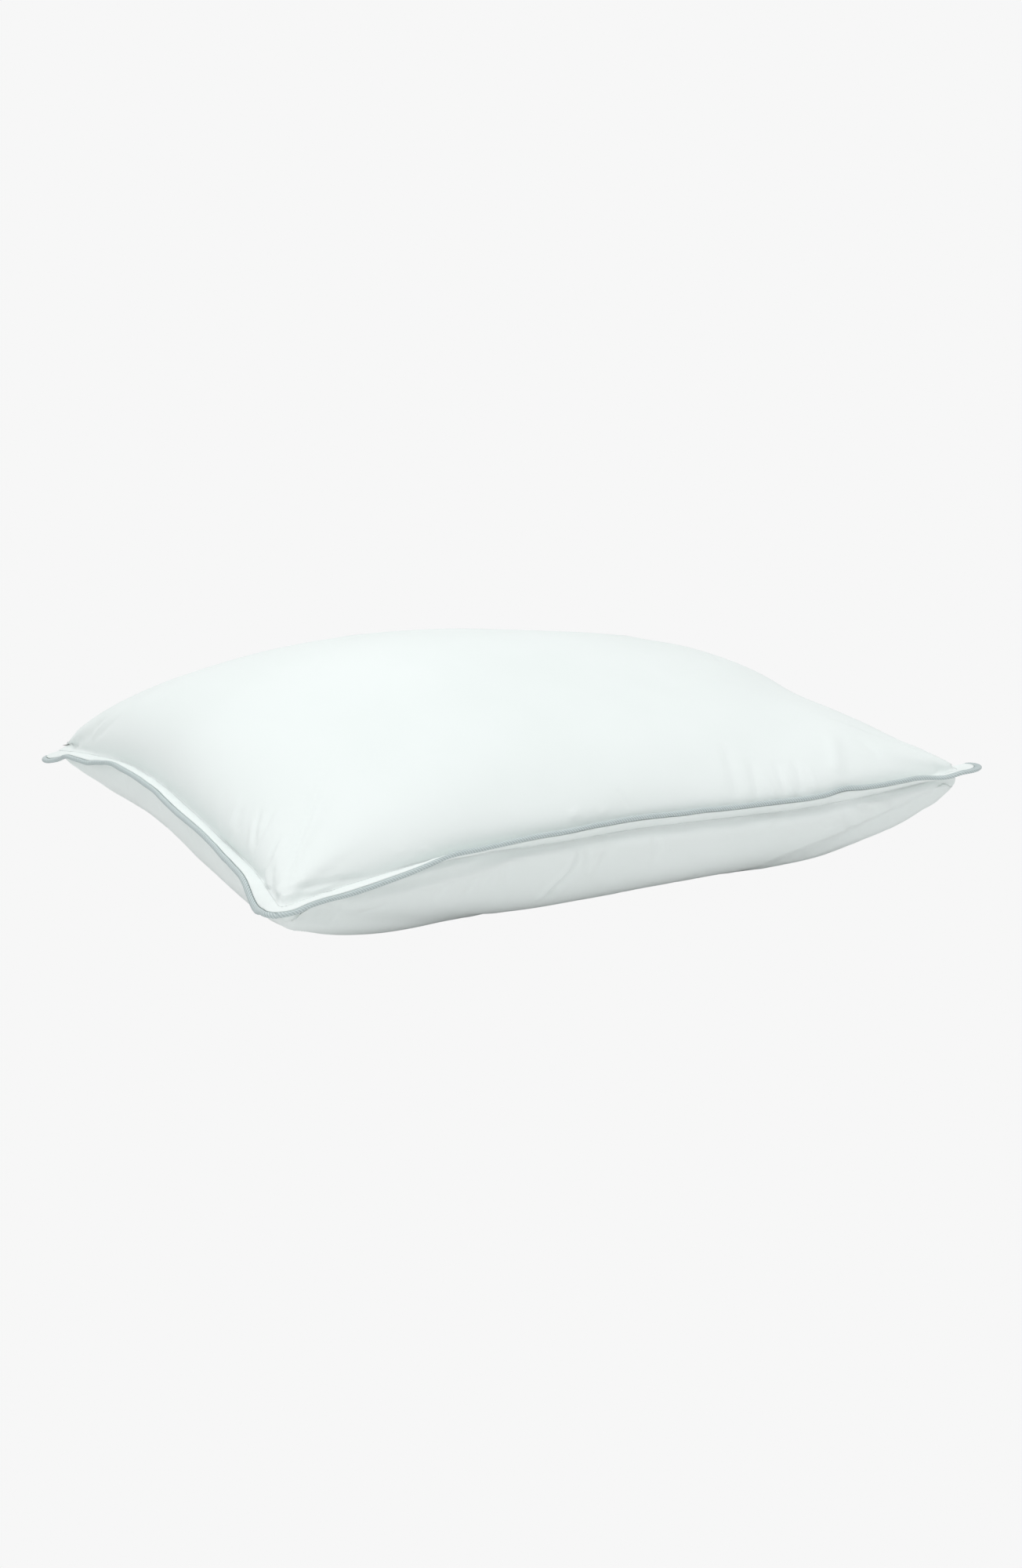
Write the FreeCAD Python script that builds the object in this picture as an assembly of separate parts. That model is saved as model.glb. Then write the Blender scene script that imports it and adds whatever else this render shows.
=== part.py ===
"""Bed pillow: two cloth panels round a loose filling, joined by a flat stitched flange with corded piping.

Millimetres, +Z up. The origin is the centre of the flat patch that the pillow rests on, +X runs along
the long side and +Y towards the back. The outline is laid out in (u, v), each from -1 to 1 across the
length and the depth. The crease, where the plump body meets the flat flange, is the outline's base line.
The flange leans up or down by an angle that varies round the edge, and takes the body's edge with it.
Every closed ring has one point at each station round the crease, so neighbouring rings loft cleanly.
"""

import FreeCAD
import Part

import math
import os

# Outline of the piping's centre line
LENGTH = 650.0  # corner to corner, filled; the cloth is cut 711 (28 in) long
DEPTH = 465.0  # corner to corner, filled; the cloth is cut 508 (20 in) deep
PULL_IN_ENDS = 0.05  # share that each short side bows in at its middle
PULL_IN_SIDES = 0.10  # share that each long side bows in at its middle
PULL_POWER = 2.5
CORNER_R = 5.0  # corner radius of the crease

# Height of the seam above the floor, evenly spaced along each side
FRONT_SEAM = [58, 65, 74, 77, 76, 72, 70, 72, 77]  # front left to front right
BACK_SEAM = [71, 74, 76, 75, 73, 73, 77]  # back left to back right
LEFT_SEAM = [58, 70, 76, 84, 90, 90, 82, 71]  # front left to back left
RIGHT_SEAM = [77, 73, 73, 75, 76, 75, 77]  # front right to back right

# Top: its rise above the seam is CROWN, times a share that falls to nothing at the sides
CROWN = 89.0
CROWN_SHAPE = (2.0, 0.34, 1.4, 0.315)  # powers along u, then along v
CROWN_LEAN = (-0.07, 0.23)  # the crown is fuller towards -u and +v
TOP_LEVELS = [0, 0.004, 0.015, 0.04, 0.09, 0.17, 0.28, 0.42, 0.58, 0.74, 0.88, 0.96, 0.99]

# Underside: it falls from the seam in the same way, and the floor flattens it
FOOT = 127.0
FOOT_SHAPE = (1.5, 0.32, 1.4, 0.345)
FOOT_LEAN = (0.05, -0.145)
FOOT_SOFT = 7.6  # the fall eases onto the floor from this height
FOOT_SHARES = [0, 0.01, 0.04, 0.1, 0.19, 0.3, 0.43, 0.57, 0.71, 0.84, 0.94, 1.0]

# Flange: piping strip in the middle, then a turned-in edge, a seam thread and a panel on each side
FLANGE = 12.7  # crease to the centre of the piping
CLOTH = 0.4
ALLOWANCE = 0.3
GAP = 0.1
CORD_R = 1.5
COVER_R = 2.0
CORD_SLACK = 0.05
FOLD_GAP = 0.3  # between the panels' folded edges and the piping
FOLD_SLOPE = 0.2
TURNED_END = 2.4  # raw edges inside the flange, outward from the crease

# Lean of the flange, in degrees up from flat, evenly spaced along each side as for the seam
FRONT_LEAN = [-8, -5, 25, 72, 74, 70, 76, 60, 24]
BACK_LEAN = [-30, -12, 0, 0, 0, 0, 10]
LEFT_LEAN = [-8, 4, 8, 8, 5, 0, -12, -30]
RIGHT_LEAN = [24, 0, 0, 5, 5, 5, 10]
LEAN_REACH = 30.0  # how far into the panels the lean moves them

# Threads
THREAD_R = 0.3
TOPSTITCH_OUT = 1.2  # outward from the crease
JOIN_OUT = 9.1
JOIN_THREAD = (0.5, 0.15)  # width and height of the hidden seam's pressed thread
CLOSE_OUT = 4.0
CLOSE_V = 0.38  # the closed filling gap runs this far each way from the right side's middle
CLOSE_STEPS = 6

FILL_GAP = 0.15  # between the filling and the panels

# Sewn-in care label, a ribbon folded once and left blank, at the back
LABEL_WIDTH = 38.0
LABEL_DROP = 48.0
LABEL_LAYER = 0.2
LABEL_FOLD = 0.1
LABEL_U = 0.52
LABEL_TOP = -1.1  # from the middle of the flange, in the notch under the piping

HALF_LENGTH = LENGTH / 2 - FLANGE
HALF_DEPTH = DEPTH / 2 - FLANGE

STRIP_HALF = GAP / 2 + ALLOWANCE
TURNED_LOW = STRIP_HALF + GAP
TURNED_HIGH = TURNED_LOW + ALLOWANCE
PANEL_LOW = TURNED_HIGH + 2 * GAP
FLANGE_HALF = PANEL_LOW + CLOTH
FOLD_OUT = FLANGE - COVER_R - FOLD_GAP


def smooth_value(values, t):
    """Catmull-Rom value at t, from -1 to 1, along evenly spaced values."""
    spans = len(values) - 1
    place = (t + 1) / 2 * spans
    i = min(max(int(place), 0), spans - 1)
    f = place - i
    b, c = values[i], values[i + 1]
    a = values[i - 1] if i > 0 else 2 * b - c
    d = values[i + 2] if i + 2 <= spans else 2 * c - b
    bend = 2 * a - 5 * b + 4 * c - d
    twist = 3 * (b - c) + d - a
    return b + 0.5 * f * (c - a + f * (bend + f * twist))


def seam_height(u, v):
    """Height of the seam's surface, blended in from the four sides."""
    sides = (
        (1 - v) * smooth_value(FRONT_SEAM, u)
        + (1 + v) * smooth_value(BACK_SEAM, u)
        + (1 - u) * smooth_value(LEFT_SEAM, v)
        + (1 + u) * smooth_value(RIGHT_SEAM, v)
    ) / 2
    corners = (
        (1 - u) * (1 - v) * FRONT_SEAM[0]
        + (1 + u) * (1 - v) * FRONT_SEAM[-1]
        + (1 - u) * (1 + v) * BACK_SEAM[0]
        + (1 + u) * (1 + v) * BACK_SEAM[-1]
    ) / 4
    return sides - corners


def plan_point(u, v):
    """Plan position of (u, v), with the sides bowed in between the corners."""
    x = HALF_LENGTH * u * (1 - PULL_IN_ENDS * (1 - abs(v) ** PULL_POWER))
    y = HALF_DEPTH * v * (1 - PULL_IN_SIDES * (1 - abs(u) ** PULL_POWER))
    return x, y


def side_normal(u, v):
    """Unit plan normal, pointing outward, of the side that (u, v) lies on."""
    step = 1e-4
    du, dv = (step, 0) if abs(v) == 1 else (0, step)
    ax, ay = plan_point(u - du, v - dv)
    bx, by = plan_point(u + du, v + dv)
    turn = v if abs(v) == 1 else -u
    span = math.hypot(bx - ax, by - ay) * turn
    return (ay - by) / span, (bx - ax) / span


def side_stations(half):
    """Stations along one side, ending where the round corners begin."""
    near = [1 - CORNER_R / half, 1 - 2.4 * CORNER_R / half]
    right = near + [0.9, 0.8, 0.66, 0.46, 0.23]
    return right + [0.0] + [-w for w in reversed(right)]


def stations():
    """(u, v, normal) of each station, anticlockwise from the back right corner."""
    cut = CORNER_R * (1 - math.sqrt(0.5))
    cu, cv = 1 - cut / HALF_LENGTH, 1 - cut / HALF_DEPTH
    long, short = side_stations(HALF_LENGTH), side_stations(HALF_DEPTH)
    sides = [
        [(w, 1.0) for w in long],
        [(-1.0, w) for w in short],
        [(-w, -1.0) for w in long],
        [(1.0, -w) for w in short],
    ]
    corners = [(cu, cv), (-cu, cv), (-cu, -cv), (cu, -cv)]
    found = []
    for k in range(4):
        before = side_normal(*sides[k - 1][-1])
        after = side_normal(*sides[k][0])
        span = math.hypot(before[0] + after[0], before[1] + after[1])
        middle = ((before[0] + after[0]) / span, (before[1] + after[1]) / span)
        found.append((*corners[k], middle))
        found += [(u, v, side_normal(u, v)) for u, v in sides[k]]
    return found


STATIONS = stations()
COUNT = len(STATIONS)


def lean_at(u, v):
    """The flange's lean, in radians, at (u, v) beside the outline."""
    nearest = max(abs(u), abs(v))
    if abs(v) == nearest:
        side, place = (FRONT_LEAN if v < 0 else BACK_LEAN), u
    else:
        side, place = (LEFT_LEAN if u < 0 else RIGHT_LEAN), v
    return math.radians(smooth_value(side, place))


def beside_crease(u, v, normal, out, up):
    """A point out from the crease and up from the middle of the leaning flange.

    The flange leans about the piping, which stays where a flat flange would put it.
    """
    x, y = plan_point(u, v)
    lean = lean_at(u, v)
    away = FLANGE + (out - FLANGE) * math.cos(lean) - up * math.sin(lean)
    rise = (out - FLANGE) * math.sin(lean) + up * math.cos(lean)
    return x + away * normal[0], y + away * normal[1], seam_height(u, v) + rise


def flange_points(out, up):
    """A ring of points beside the crease."""
    return [beside_crease(u, v, normal, out, up) for u, v, normal in STATIONS]


def outline_at(u, v, section):
    """A closed section of (out, up) points, standing across the flange at one place on a side."""
    normal = side_normal(u, v)
    points = [beside_crease(u, v, normal, o, z) for o, z in section + section[:1]]
    return Part.makePolygon([FreeCAD.Vector(*p) for p in points])


def ring_knots():
    """One parameter per station, and one for the end, shared by every ring."""
    points = flange_points(FLANGE / 2, 0)
    knots = [0.0]
    for i in range(COUNT):
        knots.append(knots[-1] + math.dist(points[i], points[(i + 1) % COUNT]))
    return knots


KNOTS = ring_knots()


def ring(points):
    """Closed smooth wire through one point per station."""
    curve = Part.BSplineCurve()
    vectors = [FreeCAD.Vector(*p) for p in points]
    curve.interpolate(Points=vectors, PeriodicFlag=True, Parameters=KNOTS)
    return Part.Wire([curve.toShape()])


def at_level(u0, v0, level):
    """(u, v) on the ray through a station where (1 - u^2)(1 - v^2) equals level."""
    total, product = u0 * u0 + v0 * v0, (u0 * v0) ** 2
    root = math.sqrt(total * total - 4 * product * (1 - level))
    reach = math.sqrt(min(2 * (1 - level) / (total + root), 1.0))
    return reach * u0, reach * v0


def fullness(u, v, shape, lean):
    """Share of the full rise or fall at (u, v)."""
    u_power, u_round, v_power, v_round = shape
    rise = (1 - abs(u) ** u_power) ** u_round * (1 - abs(v) ** v_power) ** v_round
    return rise * (1 + lean[0] * u + lean[1] * v)


def flattened(row):
    """The ring moved onto the plane that fits it best."""
    height = sum(z for _, _, z in row) / COUNT
    slope_x = sum(x * (z - height) for x, _, z in row) / sum(x * x for x, _, _ in row)
    slope_y = sum(y * (z - height) for _, y, z in row) / sum(y * y for _, y, _ in row)
    return [(x, y, height + slope_x * x + slope_y * y) for x, y, _ in row]


def leaned(j, u, v, side):
    """How far the flange's lean at station j moves the panel at (u, v) on that station's ray."""
    u0, v0, normal = STATIONS[j]
    x0, y0 = plan_point(u0, v0)
    x, y = plan_point(u, v)
    share = math.exp(-math.hypot(x - x0, y - y0) / LEAN_REACH)
    edge = beside_crease(u0, v0, normal, 0, side * FLANGE_HALF)
    flat = (x0, y0, seam_height(u0, v0) + side * FLANGE_HALF)
    return [share * (a - b) for a, b in zip(edge, flat)]


def top_rings():
    """Rings of the top's outer skin, from the crease to the small flat at the crown."""
    rings = [flange_points(0, FLANGE_HALF)]
    for level in TOP_LEVELS[1:]:
        row = []
        for j, (u0, v0, _) in enumerate(STATIONS):
            u, v = at_level(u0, v0, level)
            rise = CROWN * fullness(u, v, CROWN_SHAPE, CROWN_LEAN)
            dx, dy, dz = leaned(j, u, v, 1)
            x, y = plan_point(u, v)
            row.append((x + dx, y + dy, seam_height(u, v) + FLANGE_HALF + rise + dz))
        rings.append(row)
    rings[-1] = flattened(rings[-1])
    return rings


def free_fall(u, v):
    """Height that the underside would hang to with no floor."""
    fall = FOOT * fullness(u, v, FOOT_SHAPE, FOOT_LEAN)
    return seam_height(u, v) - FLANGE_HALF - fall


def eased(free):
    """A free height, eased onto the floor."""
    if free > FOOT_SOFT:
        return free
    return max(free + FOOT_SOFT, 0) ** 2 / (4 * FOOT_SOFT)


def contact_reach(j):
    """How far out along station j's ray, as a share, the floor is reached."""
    u0, v0, _ = STATIONS[j]
    low, high = 0.3, 1.0
    for _ in range(40):
        middle = (low + high) / 2
        u, v = middle * u0, middle * v0
        if free_fall(u, v) + leaned(j, u, v, -1)[2] > -FOOT_SOFT:
            high = middle
        else:
            low = middle
    return low


def foot_rings():
    """Rings of the underside's outer skin, from the crease down to the flat on the floor."""
    rings = [flange_points(0, -FLANGE_HALF)]
    for share in FOOT_SHARES[1:]:
        row = []
        for j, (u0, v0, _) in enumerate(STATIONS):
            reach = 1 - (1 - contact_reach(j)) * share
            u, v = reach * u0, reach * v0
            dx, dy, dz = leaned(j, u, v, -1)
            x, y = plan_point(u, v)
            z = 0.0 if share == 1 else eased(free_fall(u, v) + dz)
            row.append((x + dx, y + dy, z))
        rings.append(row)
    return rings


def skin_normal(rings, i, j, side):
    """Unit normal of the skin at one ring point, pointing into the pillow."""
    before, after = rings[i][j - 1], rings[i][(j + 1) % COUNT]
    outer, inner = rings[i - 1][j], rings[i + 1][j]
    along = FreeCAD.Vector(*after) - FreeCAD.Vector(*before)
    across = FreeCAD.Vector(*inner) - FreeCAD.Vector(*outer)
    normal = across.cross(along).normalize()
    return normal * -1 if normal.z * side > 0 else normal


def inset(rings, depth, side):
    """The rings moved into the pillow by depth; side is 1 for the top and -1 for the underside."""
    moved = [flange_points(-depth, side * (FLANGE_HALF - depth))]
    for i in range(1, len(rings) - 1):
        row = []
        for j in range(COUNT):
            p = FreeCAD.Vector(*rings[i][j]) + skin_normal(rings, i, j, side) * depth
            row.append((p.x, p.y, p.z))
        moved.append(row)
    moved.append([(x, y, z - side * depth) for x, y, z in rings[-1]])
    return moved


def skin(rings):
    """A smooth face through the rings, with a flat over the last one."""
    wires = [ring(r) for r in rings]
    return Part.makeLoft(wires, False, False).Faces + [Part.Face(wires[-1])]


def bands(rings):
    """Straight bands from each ring to the next."""
    wires = [ring(r) for r in rings]
    faces = []
    for a, b in zip(wires, wires[1:]):
        faces += Part.makeLoft([a, b], False, True).Faces
    return faces


def solid_of(faces):
    """One closed solid from faces that meet along their edges."""
    shell = Part.makeShell(faces)
    shell.sewShape()
    made = Part.Solid(shell)
    if made.Volume < 0:
        made.reverse()
    return made


def hoop(section):
    """A closed ring-shaped solid with a section of (out, up) points all the way round the flange."""
    return solid_of(bands([flange_points(o, z) for o, z in section + section[:1]]))


def round_section(out, up, radius, sides):
    """A round section at (out, up)."""
    turns = [2 * math.pi * k / sides for k in range(sides)]
    return [(out + radius * math.cos(a), up + radius * math.sin(a)) for a in turns]


def panel(rings, side):
    """A cloth panel: its skin, its flange, and the edge turned back in beside the piping."""
    edge = [
        (0, FLANGE_HALF),
        (FOLD_OUT - FOLD_SLOPE, FLANGE_HALF),
        (FOLD_OUT, FLANGE_HALF - FOLD_SLOPE),
        (FOLD_OUT, TURNED_LOW + FOLD_SLOPE),
        (FOLD_OUT - FOLD_SLOPE, TURNED_LOW),
        (TURNED_END, TURNED_LOW),
        (TURNED_END, TURNED_HIGH),
        (FOLD_OUT - CLOTH, TURNED_HIGH),
        (FOLD_OUT - CLOTH, PANEL_LOW),
        (-CLOTH, PANEL_LOW),
    ]
    faces = skin(rings) + skin(inset(rings, CLOTH, side))
    faces += bands([flange_points(o, side * z) for o, z in edge])
    return solid_of(faces)


def filling(top, foot):
    """The loose filling, just inside both panels."""
    depth = CLOTH + FILL_GAP
    upper, lower = inset(top, depth, 1), inset(foot, depth, -1)
    return solid_of(skin(upper) + skin(lower) + bands([upper[0], lower[0]]))


def piping_cord():
    return hoop(round_section(FLANGE, 0, CORD_R, 12))


def piping_cover():
    """The strip wrapped once round the cord, its two edges running back between the panels."""
    bore = CORD_R + CORD_SLACK
    steps = 9

    def arc(radius, start, end):
        turns = [start + (end - start) * k / steps for k in range(steps + 1)]
        return [(FLANGE + radius * math.cos(a), radius * math.sin(a)) for a in turns]

    outer = math.pi - math.asin(STRIP_HALF / COVER_R)
    inner = math.pi - math.asin(GAP / 2 / bore)
    section = [(TURNED_END, STRIP_HALF)] + arc(COVER_R, outer, -outer)
    section += [(TURNED_END, -STRIP_HALF), (TURNED_END, -GAP / 2)]
    section += arc(bore, -inner, inner) + [(TURNED_END, GAP / 2)]
    return hoop(section)


def topstitch(side):
    """One thread of the stitch line that holds the flange flat."""
    return hoop(round_section(TOPSTITCH_OUT, side * (FLANGE_HALF + THREAD_R), THREAD_R, 8))


def joining_seam():
    """The hidden seam beside the piping: a pressed thread on each outer side of the turned-in edges."""
    width, height = JOIN_THREAD
    low = TURNED_HIGH + (PANEL_LOW - TURNED_HIGH - height) / 2
    box = [(JOIN_OUT, low), (JOIN_OUT + width, low)]
    box += [(JOIN_OUT + width, low + height), (JOIN_OUT, low + height)]
    return Part.makeCompound([hoop([(o, side * z) for o, z in box]) for side in (1, -1)])


def closing_seam():
    """The short seam that closes the filling gap, on the right side's flange."""
    section = round_section(CLOSE_OUT, FLANGE_HALF + THREAD_R, THREAD_R, 8)
    ends = []
    for k in range(-CLOSE_STEPS, CLOSE_STEPS + 1):
        v = CLOSE_V * k / CLOSE_STEPS
        ends.append(outline_at(1.0, v, section))
    return Part.makeLoft(ends, True, True)


def care_label():
    """A blank ribbon, folded once, that hangs from the notch between the piping and the lower panel."""
    near = FOLD_OUT + 0.03
    far = near + 2 * LABEL_LAYER + LABEL_FOLD
    bottom = LABEL_TOP - LABEL_DROP
    section = [(near, LABEL_TOP), (near, bottom), (far, bottom), (far, LABEL_TOP)]
    section += [(far - LABEL_LAYER, LABEL_TOP), (far - LABEL_LAYER, bottom + LABEL_LAYER)]
    section += [(near + LABEL_LAYER, bottom + LABEL_LAYER), (near + LABEL_LAYER, LABEL_TOP)]
    half = LABEL_WIDTH / 2 / HALF_LENGTH
    ends = [outline_at(LABEL_U + way * half, 1.0, section) for way in (-1, 1)]
    return Part.makeLoft(ends, True, True)


def build():
    """Every sub-part of the pillow, by node name."""
    top, foot = top_rings(), foot_rings()
    return {
        "top_panel": panel(top, 1),
        "bottom_panel": panel(foot, -1),
        "filling": filling(top, foot),
        "piping_cord": piping_cord(),
        "piping_cover": piping_cover(),
        "joining_seam_thread": joining_seam(),
        "topstitch_needle_thread": topstitch(1),
        "topstitch_bobbin_thread": topstitch(-1),
        "closing_seam_thread": closing_seam(),
        "care_label": care_label(),
    }


def main():
    os.makedirs("parts", exist_ok=True)
    for name, shape in build().items():
        shape.exportStep("parts/" + name + ".step")
        state = "valid" if shape.isValid() else "NOT VALID"
        print(name, state, len(shape.Solids), "solid", round(shape.Volume / 1000, 2), "cm3")


main()
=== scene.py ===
"""A plump bed pillow with a stitched flange and corded piping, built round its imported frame.

Metres, +Z up, in the frame's own axes: +X along the long side, +Y to the back, the floor at z = 0.
The outline is laid out in (u, v), each from -1 to 1. The crease, where the plump body meets the flat
flange, is its base line. Each cloth panel starts from its plump form, is simulated as cloth cut flat,
and then gets its flange, folded edge and fine puckers.
"""

import math

import bpy
import numpy as np
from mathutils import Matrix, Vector, noise


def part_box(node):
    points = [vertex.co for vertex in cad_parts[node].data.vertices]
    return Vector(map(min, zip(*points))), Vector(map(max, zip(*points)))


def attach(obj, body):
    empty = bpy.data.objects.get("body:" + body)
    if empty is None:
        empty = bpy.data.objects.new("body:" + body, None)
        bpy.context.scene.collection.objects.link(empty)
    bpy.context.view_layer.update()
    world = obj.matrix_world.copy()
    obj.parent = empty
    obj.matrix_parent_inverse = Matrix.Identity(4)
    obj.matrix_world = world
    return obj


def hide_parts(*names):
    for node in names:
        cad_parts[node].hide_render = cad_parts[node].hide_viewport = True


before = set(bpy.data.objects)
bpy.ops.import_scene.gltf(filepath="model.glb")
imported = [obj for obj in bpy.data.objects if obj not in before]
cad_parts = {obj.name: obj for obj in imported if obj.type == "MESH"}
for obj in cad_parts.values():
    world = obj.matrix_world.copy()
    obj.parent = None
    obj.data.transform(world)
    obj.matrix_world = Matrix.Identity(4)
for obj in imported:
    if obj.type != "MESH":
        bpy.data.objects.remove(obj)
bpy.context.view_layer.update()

# Cut size of the cloth, corner to corner of the piping
CUT_LENGTH = 0.711
CUT_DEPTH = 0.508

# Outline, as in the frame's design
PULL_IN_ENDS = 0.05
PULL_IN_SIDES = 0.10
PULL_POWER = 2.5
CORNER_R = 0.005
FRONT_SEAM = (0.058, 0.065, 0.074, 0.077, 0.076, 0.072, 0.070, 0.072, 0.077)
BACK_SEAM = (0.071, 0.074, 0.076, 0.075, 0.073, 0.073, 0.077)
LEFT_SEAM = (0.058, 0.070, 0.076, 0.084, 0.090, 0.090, 0.082, 0.071)
RIGHT_SEAM = (0.077, 0.073, 0.073, 0.075, 0.076, 0.075, 0.077)

# Rise of the top and fall of the underside, from the seam
CROWN, CROWN_SHAPE, CROWN_LEAN = 0.089, (2.0, 0.34, 1.4, 0.315), (-0.07, 0.23)
FOOT, FOOT_SHAPE, FOOT_LEAN = 0.127, (1.5, 0.32, 1.4, 0.345), (0.05, -0.145)
FOOT_SOFT = 0.0076

# Flange and piping
FLANGE = 0.0127
COVER_R = 0.0020
CORD_R = 0.0015
COVER_WALL = 0.00045
FLANGE_HALF = 0.0014
STITCH_OUT = 0.0012

PIPING_LOW, PIPING_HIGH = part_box("piping_cover")
HALF_LENGTH = (PIPING_HIGH.x - PIPING_LOW.x) / 2 - COVER_R - FLANGE
HALF_DEPTH = (PIPING_HIGH.y - PIPING_LOW.y) / 2 - COVER_R - FLANGE

# Lean of the flange along each side, in degrees up from flat, and how far it moves the panels
FRONT_LEAN = (-8, -5, 25, 58, 58, 56, 60, 50, 24)
BACK_LEAN = (-30, -12, 0, 0, 0, 0, 10)
LEFT_LEAN = (-8, 8, 14, 14, 9, 2, -12, -30)
RIGHT_LEAN = (24, 0, 0, 5, 5, 5, 10)
LEAN_REACH = 0.03

# Marked ups and downs of the piping: (place on the seam, reach, height)
SWAYS = (
    (0.03, 0.035, 0.0025),
    (0.21, 0.045, 0.0024),
    (0.38, 0.035, -0.0016),
    (0.755, 0.025, -0.0010),
    (0.812, 0.022, 0.0024),
    (0.967, 0.030, -0.0040),
    (0.995, 0.022, 0.0030),
    (1.050, 0.045, -0.0115),
    (2.940, 0.055, -0.0060),
    (3.075, 0.030, 0.0036),
    (3.16, 0.025, -0.0012),
    (3.27, 0.050, 0.0016),
    (3.56, 0.120, -0.0020),
    (3.80, 0.050, -0.0012),
    (3.945, 0.040, -0.0080),
)

# Corners that are drawn out further: (place on the seam, reach, distance)
CORNER_PULLS = (
    (1.0, 0.035, 0.0065),
    (3.0, 0.030, 0.0040),
)

# Cloth grid: cells along the length and the depth
CELLS_U, CELLS_V = 148, 106


# ---------------------------------------------------------------- outline


def smooth_value(values, t):
    """Catmull-Rom value at t, from -1 to 1, along evenly spaced values."""
    p = np.asarray(values)
    p = np.concatenate([[2 * p[0] - p[1]], p, [2 * p[-1] - p[-2]]])
    spans = len(values) - 1
    place = (np.clip(t, -1, 1) + 1) / 2 * spans
    i = np.minimum(place.astype(int), spans - 1)
    f = place - i
    a, b, c, d = p[i], p[i + 1], p[i + 2], p[i + 3]
    return b + 0.5 * f * (c - a + f * (2 * a - 5 * b + 4 * c - d + f * (3 * (b - c) + d - a)))


def seam_height(u, v):
    """Height of the seam's surface, blended in from the four sides."""
    sides = (
        (1 - v) * smooth_value(FRONT_SEAM, u)
        + (1 + v) * smooth_value(BACK_SEAM, u)
        + (1 - u) * smooth_value(LEFT_SEAM, v)
        + (1 + u) * smooth_value(RIGHT_SEAM, v)
    ) / 2
    corners = (
        (1 - u) * (1 - v) * FRONT_SEAM[0]
        + (1 + u) * (1 - v) * FRONT_SEAM[-1]
        + (1 - u) * (1 + v) * BACK_SEAM[0]
        + (1 + u) * (1 + v) * BACK_SEAM[-1]
    ) / 4
    return sides - corners


def rounded(x, y, half_x, half_y):
    """Points near a corner of a rectangle, drawn in to its corner radius."""
    dx, dy = np.abs(x) - (half_x - CORNER_R), np.abs(y) - (half_y - CORNER_R)
    reach = np.hypot(dx, dy)
    outside = (dx > 0) & (dy > 0) & (reach > CORNER_R)
    keep = np.where(outside, CORNER_R / np.maximum(reach, 1e-9), 1.0)
    new_x = np.where(outside, np.sign(x) * (half_x - CORNER_R + dx * keep), x)
    new_y = np.where(outside, np.sign(y) * (half_y - CORNER_R + dy * keep), y)
    return new_x, new_y


def plan_point(u, v):
    """Plan position of (u, v), with round corners and sides bowed in between them."""
    x, y = rounded(u * HALF_LENGTH, v * HALF_DEPTH, HALF_LENGTH, HALF_DEPTH)
    u, v = x / HALF_LENGTH, y / HALF_DEPTH
    return (
        x * (1 - PULL_IN_ENDS * (1 - np.abs(v) ** PULL_POWER)),
        y * (1 - PULL_IN_SIDES * (1 - np.abs(u) ** PULL_POWER)),
    )


def fullness(u, v, shape, lean):
    """Share of the full rise or fall at (u, v)."""
    u_power, u_round, v_power, v_round = shape
    rise_u = np.maximum(1 - np.abs(u) ** u_power, 0) ** u_round
    rise_v = np.maximum(1 - np.abs(v) ** v_power, 0) ** v_round
    return rise_u * rise_v * (1 + lean[0] * u + lean[1] * v)


def wave(s, pitch, seed):
    """Smooth random values from -1 to 1 along s, changing over about one pitch."""
    values = np.random.default_rng(seed).uniform(-1, 1, 997)
    place = np.asarray(s) / pitch
    i = np.floor(place).astype(int)
    f = place - i
    f = f * f * (3 - 2 * f)
    return values[i % 997] * (1 - f) + values[(i + 1) % 997] * f


def even_ring(points, count):
    """A closed ring of rows whose first three values are a place, resampled evenly along it."""
    closed = np.concatenate([points, points[:1]])
    along = np.concatenate([[0], np.cumsum(np.linalg.norm(np.diff(closed[:, :3], axis=0), axis=1))])
    even = np.linspace(0, along[-1], count, endpoint=False)
    return np.stack([np.interp(even, along, closed[:, k]) for k in range(closed.shape[1])], -1)


def smooth_ring(values, window):
    """A closed ring of values, each averaged with its neighbours within the window."""
    weights = np.hanning(2 * window + 3)[1:-1]
    weights /= weights.sum()
    return sum(w * np.roll(values, k - window, axis=0) for k, w in enumerate(weights))


def outward(ring, window):
    """Unit plan normals of a ring that runs anticlockwise."""
    run = np.roll(ring, -1, axis=0) - np.roll(ring, 1, axis=0)
    normal = smooth_ring(np.stack([run[:, 1], -run[:, 0], 0 * run[:, 0]], -1), window)
    return normal / np.linalg.norm(normal, axis=1, keepdims=True)


# ---------------------------------------------------------------- seam line

# A place on the seam is t, from 0 to 4, anticlockwise from the front left corner.
SEAM_STEPS = 1200


def seam_line():
    """The flat flange's base line, with its normal and the flange's lean, one row per small step of t."""
    s = np.linspace(-1, 1, SEAM_STEPS, endpoint=False)
    one = np.ones_like(s)
    u = np.concatenate([s, one, -s, -one])
    v = np.concatenate([-one, s, one, -s])
    x, y = plan_point(u, v)
    ring = np.stack([x, y, seam_height(u, v)], -1)
    lean = np.concatenate(
        [
            smooth_value(FRONT_LEAN, s),
            smooth_value(RIGHT_LEAN, s),
            smooth_value(BACK_LEAN, -s),
            smooth_value(LEFT_LEAN, -s),
        ]
    )
    lean = smooth_ring(np.radians(lean)[:, None], 30)
    return np.concatenate([ring, outward(ring, 6), lean], axis=1)


SEAM = seam_line()


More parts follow.
